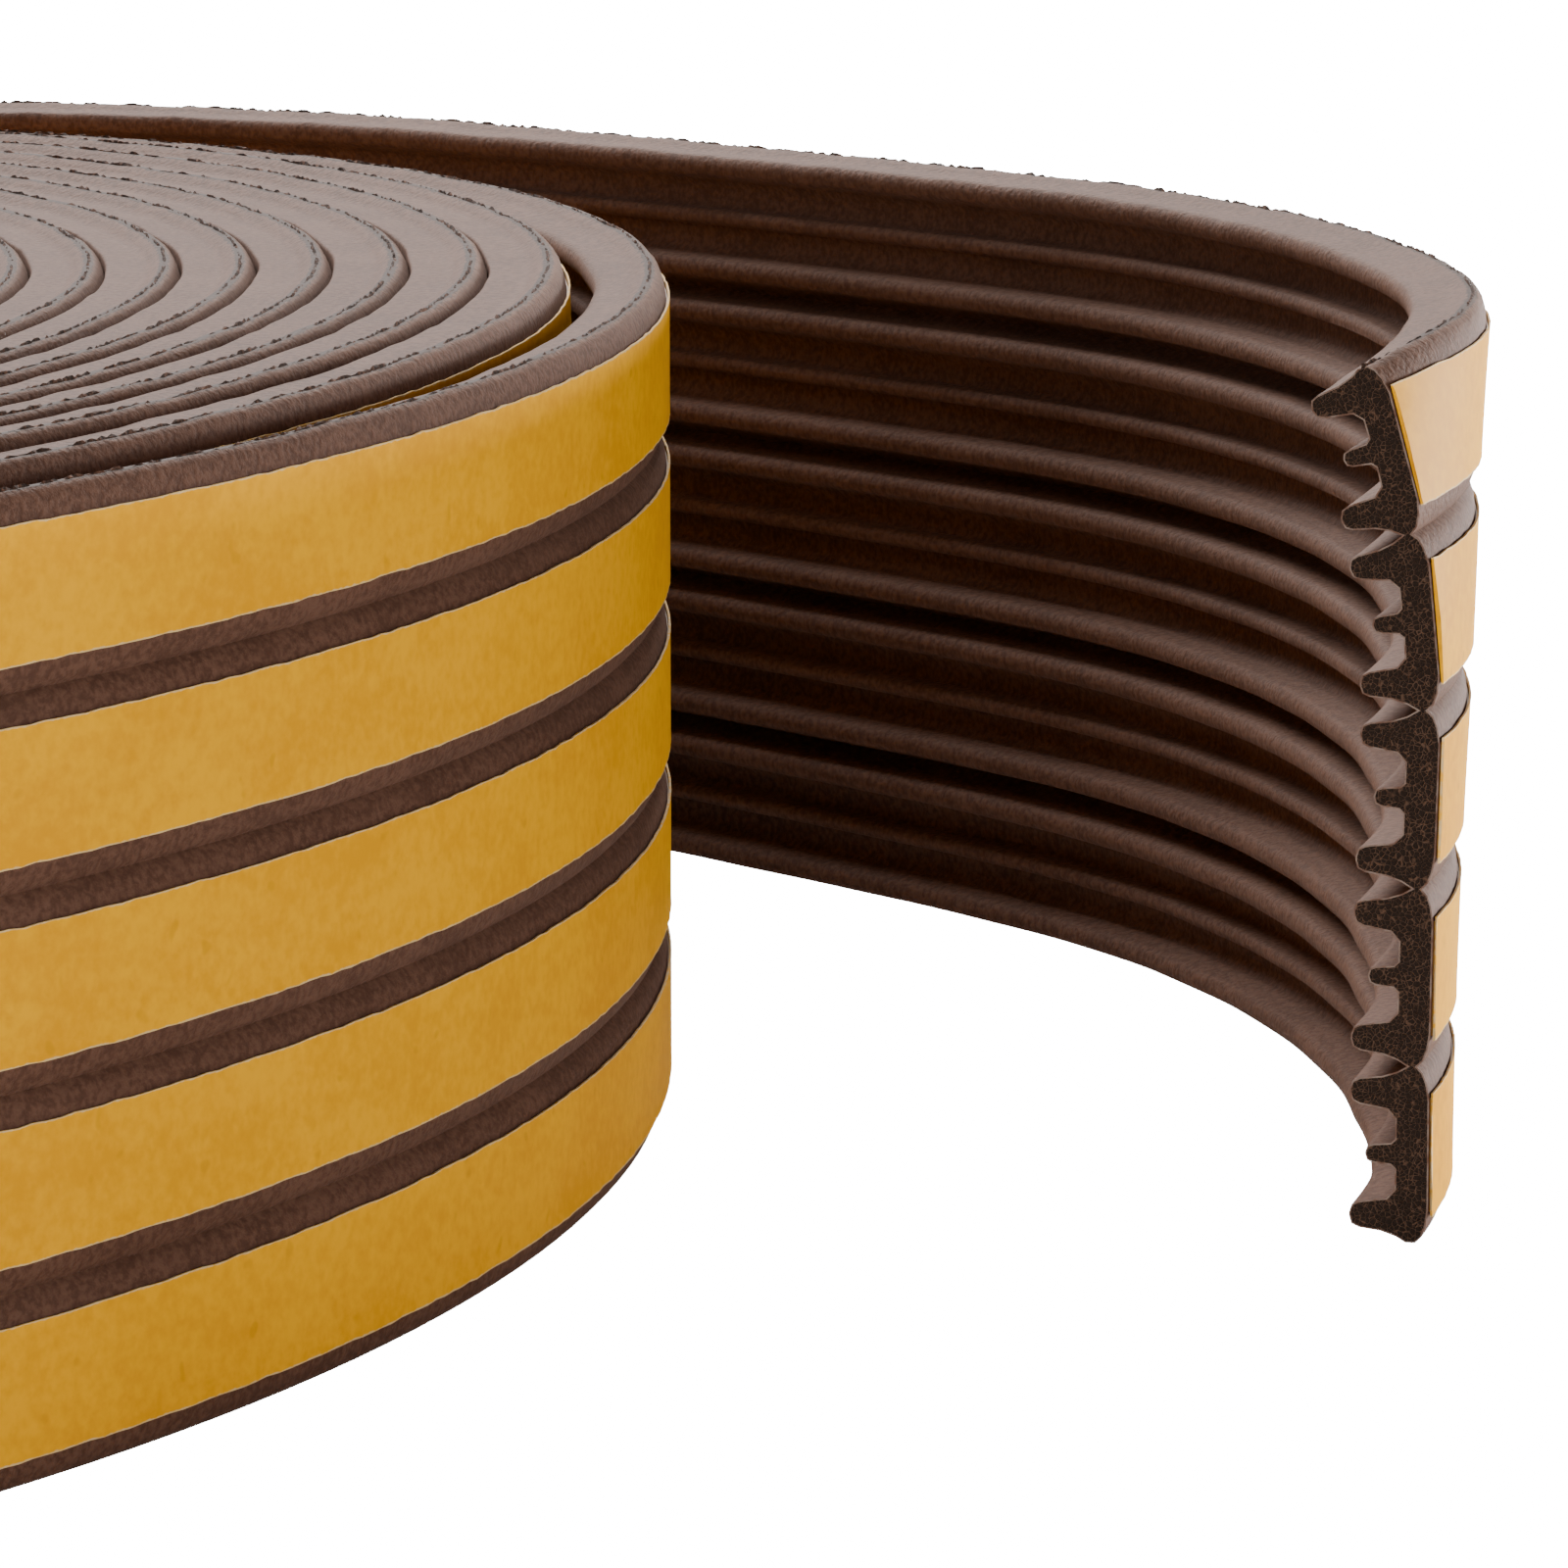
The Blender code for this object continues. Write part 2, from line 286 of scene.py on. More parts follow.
def ribPoints(tipSteps, footSteps):
    # ribbed side from the upper neck to the lane's middle
    corners = [(lane["neck"][1], 0.0)] + [corner[:2] for corner in lane["ribs"]]
    corners.append((lane["ribs"][-1][0], lane["width"] / 2))
    points = [np.array(corners[0], float)]
    for index, (_, _, reach) in enumerate(lane["ribs"]):
        isFoot = index in (0, 3, 4)
        steps = footSteps if isFoot else tipSteps
        points += softCorner(corners[index], corners[index + 1], corners[index + 2], reach, steps)
    return points


def mirrored(points):
    return [np.array([point[0], lane["width"] - point[1]]) for point in reversed(points)]


def fullSection(shoulderSteps, tipSteps, footSteps):
    # all five lanes as a closed outline: down the adhesive side and up the ribbed side
    tops = [stripHeight - index * lane["width"] for index in range(lane["count"])]
    outer, inner = [], []
    for top in tops:
        shoulder = shoulderPoints(shoulderSteps)
        side = shoulder + mirrored(shoulder)[:-1]
        outer += [(depth, top - drop) for depth, drop in side]
        ribs = ribPoints(tipSteps, footSteps)
        side = ribs + mirrored(ribs)[:-1]
        inner += [(depth, top - drop) for depth, drop in side]
    outer.append((lane["neck"][0], 0.0))
    inner.append((lane["neck"][1], 0.0))
    middle = sum(lane["neck"]) / 2
    return np.array(outer + [(middle, 0.0)] + inner[::-1] + [(middle, stripHeight)])


def woundSection(shoulderSteps, tipSteps):
    # a turn under the others shows on its ends alone, so its sides are plain
    shoulder = shoulderPoints(shoulderSteps)
    corners = [(lane["neck"][1], 0.0), lane["ribs"][0][:2], lane["pressedLeg"][:2], lane["pressedSide"]]
    leg = [np.array(corners[0])]
    leg += softCorner(corners[0], corners[1], corners[2], lane["ribs"][0][2], 2)
    leg += softCorner(corners[1], corners[2], corners[3], lane["pressedLeg"][2], tipSteps)
    middle = (sum(lane["neck"]) / 2, 0.0)
    half = shoulder[::-1] + [middle] + leg
    top = [(depth, stripHeight - drop) for depth, drop in half]
    bottom = [(depth, drop) for depth, drop in half]
    return np.array(top[::-1] + bottom)


def wrapSheet(name, stations, depth, height, across):
    # a flat grid is wrapped round the line: its rows follow the strip and its columns the section
    rows, columns = depth.shape
    bpy.ops.object.select_all(action="DESELECT")
    bpy.ops.mesh.primitive_grid_add(x_subdivisions=rows - 1, y_subdivisions=columns, size=1)
    sheet = bpy.context.object
    sheet.name = name
    mesh = sheet.data
    mesh.name = name
    flat = np.empty(len(mesh.vertices) * 3)
    mesh.vertices.foreach_get("co", flat)
    flat = flat.reshape(-1, 3) + 0.5
    row = np.rint(flat[:, 0] * (rows - 1)).astype(int)
    column = np.rint(flat[:, 1] * columns).astype(int)
    places = placeOnStrip(stations, depth, height)
    mesh.vertices.foreach_set("co", places[row, column % columns].ravel())

    corners = np.empty(len(mesh.loops), int)
    mesh.loops.foreach_get("vertex_index", corners)
    across = np.append(across, across[0])
    pattern = np.column_stack([stations["along"][row[corners]], across[column[corners]]])
    mesh.uv_layers[0].name = "strip"
    mesh.uv_layers[0].data.foreach_set("uv", pattern.ravel())
    mesh.update()
    return sheet, row, column


def faceColumns(mesh, column):
    # the section side that each face of a wrapped sheet lies on
    corners = np.empty(len(mesh.polygons) * 4, int)
    mesh.polygons.foreach_get("vertices", corners)
    return column[corners.reshape(-1, 4)].min(axis=1)


def closeSheet(sheet, smoothAngle=50):
    # the sheet's two long edges meet, and its open ends are capped
    bpy.ops.object.select_all(action="DESELECT")
    bpy.context.view_layer.objects.active = sheet
    sheet.select_set(True)
    bpy.ops.object.mode_set(mode="EDIT")
    bpy.ops.mesh.select_all(action="SELECT")
    bpy.ops.mesh.remove_doubles(threshold=0.0000005)
    bpy.ops.mesh.fill_holes(sides=0)
    bpy.ops.mesh.select_all(action="SELECT")
    bpy.ops.mesh.normals_make_consistent(inside=False)
    bpy.ops.mesh.select_all(action="DESELECT")
    bpy.ops.object.mode_set(mode="OBJECT")
    bpy.ops.object.shade_smooth_by_angle(angle=math.radians(smoothAngle))
    return sheet


def insetCut(sheet, toPoint, rim):
    # the skin shows as a thin rim round the cut face nearest to a plan point
    caps = [face for face in sheet.data.polygons if len(face.vertices) > 20]
    cut = min(caps, key=lambda face: math.dist(face.center[:2], toPoint)).index
    bpy.ops.object.select_all(action="DESELECT")
    sheet.select_set(True)
    bpy.context.view_layer.objects.active = sheet
    bpy.ops.object.mode_set(mode="EDIT")
    bpy.ops.mesh.select_mode(type="FACE")
    bpy.ops.mesh.select_all(action="DESELECT")
    bpy.ops.object.mode_set(mode="OBJECT")
    sheet.data.polygons[cut].select = True
    bpy.ops.object.mode_set(mode="EDIT")
    sheet.active_material_index = 1
    bpy.ops.object.material_slot_assign()
    bpy.ops.mesh.inset(thickness=rim, depth=0)
    sheet.active_material_index = 2
    bpy.ops.object.material_slot_assign()
    bpy.ops.mesh.select_all(action="DESELECT")
    bpy.ops.object.mode_set(mode="OBJECT")


print("Finishes")


def newFinish(name, **constants):
    finish = bpy.data.materials.new(name)
    finish.use_nodes = True
    tree = finish.node_tree
    shader = tree.nodes["Principled BSDF"]
    for socket, value in constants.items():
        shader.inputs[socket.replace("_", " ")].default_value = value
    return finish, tree, shader


def addNode(tree, kind, inputs=None, **settings):
    # inputs holds plain values, or output sockets of other nodes
    node = tree.nodes.new(kind)
    for key, value in settings.items():
        setattr(node, key, value)
    for key, value in (inputs or {}).items():
        if isinstance(value, bpy.types.NodeSocket):
            tree.links.new(value, node.inputs[key])
        else:
            node.inputs[key].default_value = value
    return node


def calculate(tree, operation, first, second=0.0):
    return addNode(tree, "ShaderNodeMath", {0: first, 1: second}, operation=operation).outputs[0]


def noiseAt(tree, place, scale, detail=2.0, roughness=0.5):
    inputs = {"Vector": place, "Scale": scale, "Detail": detail, "Roughness": roughness}
    return addNode(tree, "ShaderNodeTexNoise", inputs).outputs["Fac"]


def stretched(tree, x, y, z):
    return addNode(tree, "ShaderNodeCombineXYZ", {0: x, 1: y, 2: z}).outputs[0]


def between(tree, value, low, high):
    # 0 below low, 1 above high
    inputs = {"Value": value, "From Min": low, "From Max": high}
    return addNode(tree, "ShaderNodeMapRange", inputs, interpolation_type="SMOOTHSTEP").outputs[0]


def mixColours(tree, share, first, second):
    node = addNode(tree, "ShaderNodeMix", data_type="RGBA")
    for index, value in ((0, share), (6, first), (7, second)):
        if isinstance(value, bpy.types.NodeSocket):
            tree.links.new(value, node.inputs[index])
        else:
            node.inputs[index].default_value = value
    return node.outputs[2]


def addBump(tree, height, distance, under=None):
    inputs = {"Height": height, "Distance": distance, "Strength": 1.0}
    if under is not None:
        inputs["Normal"] = under
    return addNode(tree, "ShaderNodeBump", inputs).outputs[0]


def stripPlace(tree):
    # length along the strip, depth behind the adhesive face and height
    pattern = addNode(tree, "ShaderNodeUVMap", uv_map="strip").outputs[0]
    along, depth, _ = addNode(tree, "ShaderNodeSeparateXYZ", {0: pattern}).outputs
    place = addNode(tree, "ShaderNodeTexCoord").outputs["Object"]
    height = addNode(tree, "ShaderNodeSeparateXYZ", {0: place}).outputs[2]
    return place, along, depth, height


foam = {
    "skin": ((0.080, 0.035, 0.021, 1), (0.130, 0.061, 0.038, 1)),
    # the torn foam's own darker colour; on the skin's crest it also serves as painted shade for the tear's pits
    "torn": (0.030, 0.017, 0.012, 1),
    # near-black colour of the cells: painted shade inside the open pores of the cut face
    "cell": (0.019, 0.010, 0.006, 1),
    "cellWall": (0.098, 0.052, 0.032, 1),
    "rim": (0.24, 0.17, 0.135, 1),
    "cellSize": 0.00025,
    "grain": (2600, 0.00010),            # scale and height of the skin's grain
    "patches": 160,
    "creases": (1500, 260, 0.00002),     # scale along the strip and across it, and height
    # the dark crest line, torn colour together with painted shade for its pits:
    "tornLineAndPitShade": (1100, 5000, 0.0006),  # scale along the crest and across it, and how far it strays
}


def makeFoamSkin():
    finish, tree, shader = newFinish("foamSkin", Roughness=0.75, Specular_IOR_Level=0.12, Sheen_Weight=0.05,
                                     Sheen_Roughness=0.5, Sheen_Tint=(1.0, 0.70, 0.54, 1))
    place, along, depth, height = stripPlace(tree)
    grainScale, grainHeight = foam["grain"]
    grain = noiseAt(tree, place, grainScale, 3, 0.6)
    patches = noiseAt(tree, place, foam["patches"], 3, 0.6)
    # fine creases run up and down the strip where it is bent
    creaseAlong, creaseAcross, creaseHeight = foam["creases"]
    crease = noiseAt(tree, stretched(tree, calculate(tree, "MULTIPLY", along, creaseAlong),
                                     calculate(tree, "MULTIPLY", height, creaseAcross),
                                     calculate(tree, "MULTIPLY", depth, creaseAcross)), 1, 2, 0.5)
    shade = calculate(tree, "ADD", calculate(tree, "MULTIPLY", grain, 0.75),
                      calculate(tree, "MULTIPLY", patches, 0.25))
    shade = between(tree, shade, 0.38, 0.62)
    colour = mixColours(tree, shade, *foam["skin"])
    # a rough dark line is painted along the crest: partly the torn foam's own darker colour, partly painted shade
    # for the pits and shadows of the torn neck
    lineAlong, lineAcross, lineStray = foam["tornLineAndPitShade"]
    ragged = noiseAt(tree, stretched(tree, calculate(tree, "MULTIPLY", along, lineAlong),
                                     calculate(tree, "MULTIPLY", depth, lineAcross), 0.0), 1, 3, 0.7)
    off = calculate(tree, "ABSOLUTE", calculate(tree, "SUBTRACT", depth, sum(lane["neck"]) / 2))
    off = calculate(tree, "ADD", off, calculate(tree, "MULTIPLY", ragged, -lineStray))
    atTop = between(tree, height, stripHeight - 0.0006, stripHeight - 0.0002)
    crest = calculate(tree, "MULTIPLY", between(tree, off, 0.00002, -0.00008), atTop)
    colour = mixColours(tree, calculate(tree, "MULTIPLY", crest, 0.85), colour, foam["torn"])
    tree.links.new(colour, shader.inputs["Base Color"])
    normal = addBump(tree, grain, grainHeight)
    normal = addBump(tree, crease, creaseHeight, normal)
    tree.links.new(normal, shader.inputs["Normal"])
    return finish


def makeCutFoam():
    finish, tree, shader = newFinish("cutFoam", Roughness=0.9, Specular_IOR_Level=0.2)
    place = addNode(tree, "ShaderNodeTexCoord").outputs["Object"]
    # the cells are pushed about, so that none is regular
    wander = addNode(tree, "ShaderNodeTexNoise", {"Vector": place, "Scale": 1800.0, "Detail": 1.0}).outputs["Color"]
    push = {0: wander, "Scale": foam["cellSize"] * 0.8}
    wander = addNode(tree, "ShaderNodeVectorMath", push, operation="SCALE").outputs[0]
    moved = addNode(tree, "ShaderNodeVectorMath", {0: place, 1: wander}).outputs[0]
    cells = addNode(tree, "ShaderNodeTexVoronoi", {"Vector": moved, "Scale": 1 / foam["cellSize"]},
                    feature="DISTANCE_TO_EDGE").outputs["Distance"]
    sizes = noiseAt(tree, place, 1300, 2)
    # the cells are painted near-black as shade inside the pores; the walls keep the foam's own brown
    walls = between(tree, calculate(tree, "ADD", cells, calculate(tree, "MULTIPLY", sizes, -0.12)), 0.085, -0.05)
    colour = mixColours(tree, walls, foam["cell"], foam["cellWall"])
    tree.links.new(colour, shader.inputs["Base Color"])
    tree.links.new(addBump(tree, walls, 0.0001), shader.inputs["Normal"])
    return finish


def makeRim():
    finish, tree, shader = newFinish("cutRim", Roughness=0.8, Specular_IOR_Level=0.3, Sheen_Weight=0.3)
    place = addNode(tree, "ShaderNodeTexCoord").outputs["Object"]
    dusty = between(tree, noiseAt(tree, place, 1500, 2), 0.3, 0.7)
    tree.links.new(mixColours(tree, dusty, foam["skin"][1], foam["rim"]), shader.inputs["Base Color"])
    return finish


def makeTornFoam():
    finish, tree, shader = newFinish("tornFoam", Roughness=0.95, Specular_IOR_Level=0.15)
    place = addNode(tree, "ShaderNodeTexCoord").outputs["Object"]
    crumbs = noiseAt(tree, place, 3500, 2)
    tree.links.new(mixColours(tree, between(tree, crumbs, 0.4, 0.75), foam["torn"], foam["skin"][1]),
                   shader.inputs["Base Color"])
    tree.links.new(addBump(tree, crumbs, 0.0001), shader.inputs["Normal"])
    return finish


gold = {
    "light": (0.89, 0.415, 0.001, 1),
    "deep": (0.76, 0.325, 0.0005, 1),
    "fleck": (0.62, 0.26, 0.002, 1),
    "cream": (0.72, 0.50, 0.24, 1),
    "amber": (0.20, 0.070, 0.010, 1),
    "clouds": (90, 170, 0.00004),        # scale along the strip and up it, and height
    "mottle": (1400, 0.000008),          # scale and height
    "flecks": 650,
    "fibres": 2600,
}


def makeGoldenPaper():
    finish, tree, shader = newFinish("goldenPaper", Roughness=0.52, Specular_IOR_Level=0.02)
    place, along, across, height = stripPlace(tree)
    cloudAlong, cloudUp, cloudHeight = gold["clouds"]
    mottleScale, mottleHeight = gold["mottle"]
    clouds = noiseAt(tree, stretched(tree, calculate(tree, "MULTIPLY", along, cloudAlong),
                                     calculate(tree, "MULTIPLY", height, cloudUp), 0.0), 1, 4, 0.6)
    mottle = noiseAt(tree, place, mottleScale, 3, 0.6)
    shade = calculate(tree, "ADD", calculate(tree, "MULTIPLY", clouds, 0.55),
                      calculate(tree, "MULTIPLY", mottle, 0.45))
    colour = mixColours(tree, between(tree, shade, 0.36, 0.64), gold["deep"], gold["light"])
    flecks = between(tree, noiseAt(tree, place, gold["flecks"], 1), 0.70, 0.78)
    colour = mixColours(tree, calculate(tree, "MULTIPLY", flecks, 0.5), colour, gold["fleck"])
    # the slit edges show the paper's cream body, with fibres that reach in
    middle = calculate(tree, "ABSOLUTE", calculate(tree, "SUBTRACT", across, 0.5))
    fibres = noiseAt(tree, stretched(tree, calculate(tree, "MULTIPLY", along, gold["fibres"]),
                                     calculate(tree, "MULTIPLY", height, gold["fibres"]), 0.0), 1, 2)
    edge = calculate(tree, "ADD", middle, calculate(tree, "MULTIPLY", fibres, 0.03))
    colour = mixColours(tree, between(tree, edge, 0.499, 0.512), colour, gold["cream"])
    tree.links.new(colour, shader.inputs["Base Color"])
    normal = addBump(tree, clouds, cloudHeight)
    normal = addBump(tree, mottle, mottleHeight, normal)
    tree.links.new(normal, shader.inputs["Normal"])
    return finish


def makePaperEdge():
    finish, tree, shader = newFinish("paperEdge", Roughness=0.8, Specular_IOR_Level=0.3)
    place = addNode(tree, "ShaderNodeTexCoord").outputs["Object"]
    fibres = noiseAt(tree, place, 3000, 3)
    tree.links.new(mixColours(tree, between(tree, fibres, 0.3, 0.6), gold["light"], gold["cream"]),
                   shader.inputs["Base Color"])
    return finish


def makeAdhesive():
    finish, tree, shader = newFinish("adhesiveFilm", Roughness=0.35, Specular_IOR_Level=0.5)
    place = addNode(tree, "ShaderNodeTexCoord").outputs["Object"]
    strings = noiseAt(tree, place, 1200, 2)
    tree.links.new(mixColours(tree, strings, gold["amber"], gold["deep"]), shader.inputs["Base Color"])
    return finish


foamSkin = makeFoamSkin()
cutFoam = makeCutFoam()
cutRim = makeRim()
tornFoam = makeTornFoam()
goldenPaper = makeGoldenPaper()
paperEdge = makePaperEdge()
adhesiveFilm = makeAdhesive()


print("Foam strip")
relief = {
    "looseSpacing": (0.0030, 0.0015),    # stations on the outermost turn and on the tail
    "woundSpacing": 0.0023,
    "boreSpacing": 0.004,
    "sway": 0.00008,                     # slow waves in the strip's sides
    "swayWaves": (0.013, 0.021, 0.034),
    "crest": 0.00006,                    # unevenness of the torn crest
    "crestWaves": (0.0041, 0.0067, 0.011, 0.023),
    "crestReach": 0.004,                 # which fades out over this height
    "rim": 0.00008,                      # width of the skin's rim round a cut
}
innerEnd = float(stripLine["along"][0])
boreTurnEnd = alongAt(-(coil["woundTurns"] - 1) * 2 * math.pi)
tailStart = float(stripLine["along"][-1] - stripLine["tailLength"])
cutEnd = float(stripLine["along"][-1])


def softened(section, stations, seed, lifts):
    # the section for every station, with slow waves, an uneven torn crest and the pressed upper leg
    depth = np.repeat(section[None, :, 0], len(stations["along"]), axis=0)
    height = np.repeat(section[None, :, 1], len(stations["along"]), axis=0)
    sway = ripple(stations["along"], relief["swayWaves"], seed)[:, None]
    lift = ripple(stations["along"], relief["crestWaves"], seed + 1)[:, None]
    ribbed = section[:, 0] > lane["wall"]
    depth = depth + relief["sway"] * sway * ribbed
    topShare = smoothStep((section[:, 1] - stripHeight + relief["crestReach"]) / relief["crestReach"])
    height = height + relief["crest"] * lift * topShare
    if lifts:
        reach, soft = lane["pressedReach"]
        tip = smoothStep((section[:, 0] - lane["neck"][1]) / (lane["depth"] - lane["neck"][1]))
        tip = tip * smoothStep((section[:, 1] - stripHeight + reach) / soft)
        height = height + lane["pressedLift"] * stations["pressed"][:, None] * tip
    return depth, height


def addFoam(name, section, along, seed, lifts):
    stations = stationsAt(along)
    depth, height = softened(section, stations, seed, lifts)
    piece, _, _ = wrapSheet(name, stations, depth, height, section[:, 0])
    closeSheet(piece)
    for finish in (foamSkin, cutRim, cutFoam):
        piece.data.materials.append(finish)
    return piece


looseAlong = np.concatenate([evenly(0.0, tailStart, relief["looseSpacing"][0])[:-1],
                             evenly(tailStart, cutEnd, relief["looseSpacing"][1])])
looseStrip = addFoam("looseStrip", fullSection(3, 2, 1), looseAlong, 11, True)
endStation = stationsAt(np.array([cutEnd]))
insetCut(looseStrip, (endStation["x"][0], endStation["y"][0]), relief["rim"])

woundAlong = evenly(boreTurnEnd, 0.0, relief["woundSpacing"])
woundTurns = addFoam("woundTurns", woundSection(4, 3), woundAlong, 23, False)

boreAlong = evenly(innerEnd, boreTurnEnd, relief["boreSpacing"])
boreTurn = addFoam("boreTurn", fullSection(2, 2, 1), boreAlong, 31, True)
startStation = stationsAt(np.array([innerEnd]))
insetCut(boreTurn, (startStation["x"][0], startStation["y"][0]), relief["rim"])

print("Torn crests")
torn = {
    "spacing": 0.00038,
    "halfWidth": 0.00014,
    "height": 0.00016,
    "wander": 0.00005,
    "wanderWaves": (0.0037, 0.0089, 0.017),
    "patchWaves": (0.0023, 0.0041, 0.0077, 0.019),  # the lip is taller in some stretches
    "root": 0.00012,                     # how deep the ragged lip is sunk into the crest
}


def addTornCrest(name, seed):
    along = evenly(innerEnd, cutEnd, torn["spacing"])
    stations = stationsAt(along)
    random = np.random.default_rng(seed)
    middle = sum(lane["neck"]) / 2 + torn["wander"] * ripple(along, torn["wanderWaves"], seed)
    patches = ripple(along, torn["patchWaves"], seed + 1)
    tall = torn["height"] * (0.1 + 0.45 * patches[:, None] + random.uniform(-0.9, 0.9, (len(along), 2)))
    tall = np.clip(tall, -0.5 * torn["root"], torn["height"])
    width = torn["halfWidth"] * random.uniform(0.6, 1.1, (len(along), 4)) * np.array([-1.0, -0.45, 0.45, 1.0])
    depth = middle[:, None] + width
    root = np.full(len(along), -torn["root"])
    rise = np.column_stack([root, tall[:, 0], tall[:, 1], root])
    piece, _, _ = wrapSheet(name, stations, depth, stripHeight + rise, np.array([0.0, 0.3, 0.6, 1.0]))
    closeSheet(piece, 30)
    piece.data.materials.append(tornFoam)
    return piece


tornCrest = addTornCrest("tornCrest", 41)

print("Release papers")


def addPaper(name, index):
    middle = stripHeight - (index + 0.5) * lane["width"]
    along = evenly(alongAt(paper["startTurn"] * 2 * math.pi), cutEnd, paper["spacing"])
    stations = stationsAt(along)
    random = np.random.default_rng(60 + index)
    count = len(along)
    far = -paper["film"] - paper["thickness"]
    near = -paper["film"]
    half = paper["width"] / 2
    across = np.array([0.0, 0.0, 0.06, 0.2, 0.35, 0.5, 0.65, 0.8, 0.94, 1.0, 1.0])
    depth = np.tile([near] + [far] * 9 + [near], (count, 1))
    height = np.tile(half - paper["width"] * across, (count, 1))
    for columns in ((0, 1), (9, 10)):
        wander = 0.4 * ripple(along, paper["edgeWaves"], 70 + index + columns[0])
        fray = paper["fray"] * (wander + random.uniform(-1, 1, count))
        height[:, columns] += fray[:, None]
    for edge in (1, 9):
        depth[:, edge] -= paper["edgeBurr"] * random.uniform(0, 1, count)
    liftLength, liftHeight = paper["endLift"]
    lift = np.clip(1 - stations["toEnd"] / liftLength, 0.0, 1.0) ** 2
    bow = 0.5 + 0.5 * np.sin(height / half * 1.3 + index)  # each paper bows in its own way
    depth -= liftHeight * lift[:, None] * bow
    height = middle + height
    piece, row, column = wrapSheet(name, stations, depth, height, across)
    wave = paper["cutWave"] * random.uniform(-1, 0.3, len(across))
    heading = stations["heading"][-1]
    for vertex, part in zip(np.flatnonzero(row == count - 1), column[row == count - 1] % len(across)):
        piece.data.vertices[vertex].co.x += wave[part] * math.cos(heading)
        piece.data.vertices[vertex].co.y += wave[part] * math.sin(heading)
    side = faceColumns(piece.data, column)
    kind = np.where((side >= 1) & (side <= 8), 0, 1)
    piece.data.polygons.foreach_set("material_index", kind.astype(np.int32))
    closeSheet(piece, 40)

    along = evenly(along[0], cutEnd - paper["filmShort"], paper["filmSpacing"])
    stations = stationsAt(along)
    half = paper["filmWidth"] / 2
    depth = np.tile([0.0, near, near, 0.0], (len(along), 1))
    height = middle + np.tile([half, half, -half, -half], (len(along), 1))
    film, _, column = wrapSheet(name + "Film", stations, depth, height, np.array([0.0, 0.0, 1.0, 1.0]))
    film.data.polygons.foreach_set("material_index", np.full(len(film.data.polygons), 2, np.int32))
    closeSheet(film, 40)
    for finish in (goldenPaper, paperEdge, adhesiveFilm):
        piece.data.materials.append(finish)
        film.data.materials.append(finish)
    bpy.ops.object.select_all(action="DESELECT")
    film.select_set(True)
    piece.select_set(True)
    bpy.context.view_layer.objects.active = piece
    bpy.ops.object.join()
    return piece


papers = [addPaper("releasePaper" + str(index + 1), index) for index in range(lane["count"])]

print("The pieces take the places of the plain solids")
for piece in (looseStrip, woundTurns, boreTurn, tornCrest):
    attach(piece, "root")
    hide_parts("seal_strip")
for index, piece in enumerate(papers):
    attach(piece, "root")
    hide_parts("liner_" + str(index + 1))

print("Floor, lights and camera")
studio = {
    "floor": 12.0,
    "floorShade": (0.8, 0.8, 0.8, 1),
    "floorDrop": 0.0003,                 # so that nothing flickers under the part
    "camera": (0.0997894, -0.4049742, 0.0924723),
    "pitch": math.radians(-10.66),
    "roll": math.radians(-1.66),
    "lens": 172.0,
    "surround": 0.09,                    # light from all round
    "backdrop": 24.0,                    # as the camera sees it
    "floorGlow": 20.0,
    # place, target, width and height, power
    "lights": {
        "topLight": ((-0.15, 0.85, 0.75), (0, 0, 0.03), (1.1, 0.6), 42),
        "overLight": ((-0.45, -0.75, 0.95), (0, 0, 0.03), (0.7, 0.5), 1.8),
        "rimLight": ((0.78, 0.50, 0.05), (0.12, 0, 0.03), (0.4, 0.08), 14),
        "backLight": ((0.44, 1.15, 0.05), (0.13, 0, 0.03), (0.2, 0.08), 3.0),
        "rightLight": ((0.60, -0.82, 0.14), (0.05, -0.05, 0.02), (0.5, 0.25), 4.6),
        "leftLight": ((-0.85, -0.85, 0.35), (-0.03, -0.05, 0.02), (0.6, 0.5), 2.5),
    },
}


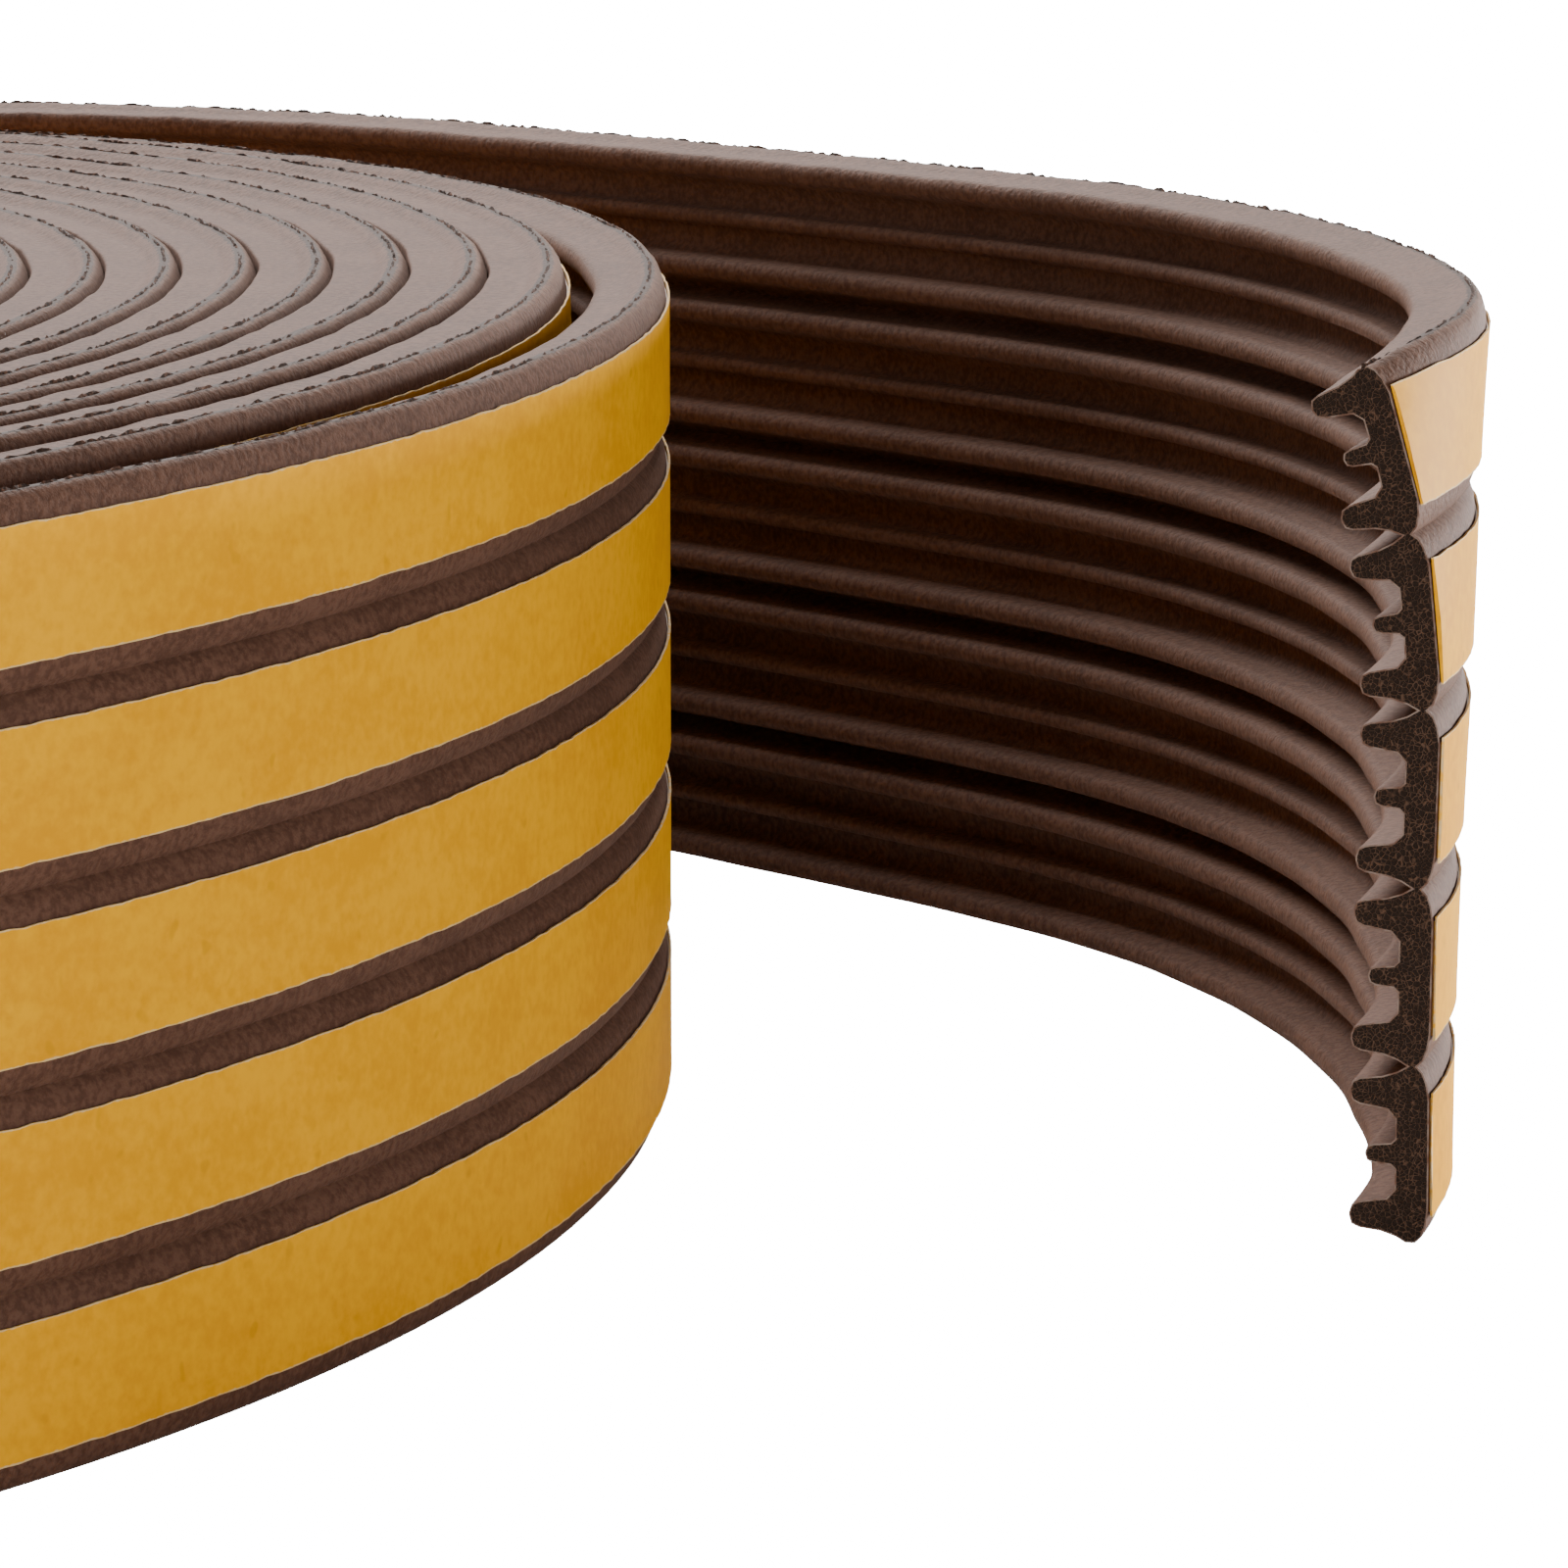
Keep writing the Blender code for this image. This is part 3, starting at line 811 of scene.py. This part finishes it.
def makeFloor():
    bpy.ops.object.select_all(action="DESELECT")
    bpy.ops.mesh.primitive_plane_add(size=studio["floor"], location=(0, 0, -studio["floorDrop"]))
    floor = bpy.context.object
    floor.name = "floor"
    finish, tree, shader = newFinish("paleFloor", Roughness=0.8, Specular_IOR_Level=0.1, Emission_Strength=1.0)
    shader.inputs["Base Color"].default_value = studio["floorShade"]
    # the camera sees the floor burnt out to white; the part is lit by the lights alone
    seen = addNode(tree, "ShaderNodeLightPath").outputs["Is Camera Ray"]
    tree.links.new(calculate(tree, "MULTIPLY", seen, studio["floorGlow"]), shader.inputs["Emission Strength"])
    shader.inputs["Emission Color"].default_value = (1, 1, 1, 1)
    floor.data.materials.append(finish)


def addSoftbox(name, place, target, size, power):
    bpy.ops.object.light_add(type="AREA", location=place)
    light = bpy.context.object
    light.name = name
    light.data.shape = "RECTANGLE"
    light.data.size, light.data.size_y = size
    light.data.energy = power
    aim = np.array(target) - np.array(place)
    flat = math.hypot(aim[0], aim[1])
    light.rotation_euler = (math.atan2(flat, -aim[2]), 0, math.atan2(aim[1], aim[0]) - math.pi / 2)


def makeCamera():
    data = bpy.data.cameras.new("camera")
    data.lens = studio["lens"]
    data.sensor_width = 36.0
    data.clip_start = 0.01
    camera = bpy.data.objects.new("camera", data)
    bpy.context.scene.collection.objects.link(camera)
    turn = Matrix.Rotation(math.pi / 2 + studio["pitch"], 4, "X") @ Matrix.Rotation(studio["roll"], 4, "Z")
    camera.matrix_world = Matrix.Translation(studio["camera"]) @ turn
    bpy.context.scene.camera = camera


makeFloor()
for name, light in studio["lights"].items():
    addSoftbox(name, *light)
makeCamera()

world = bpy.data.worlds.new("studio")
world.use_nodes = True
sky = world.node_tree.nodes["Background"]
sky.inputs["Color"].default_value = (1, 1, 1, 1)
seen = addNode(world.node_tree, "ShaderNodeLightPath").outputs["Is Camera Ray"]
brightness = addNode(world.node_tree, "ShaderNodeMapRange", {"Value": seen, "To Min": studio["surround"],
                                                             "To Max": studio["backdrop"]}).outputs[0]
world.node_tree.links.new(brightness, sky.inputs["Strength"])
bpy.context.scene.world = world

bpy.context.view_layer.update()
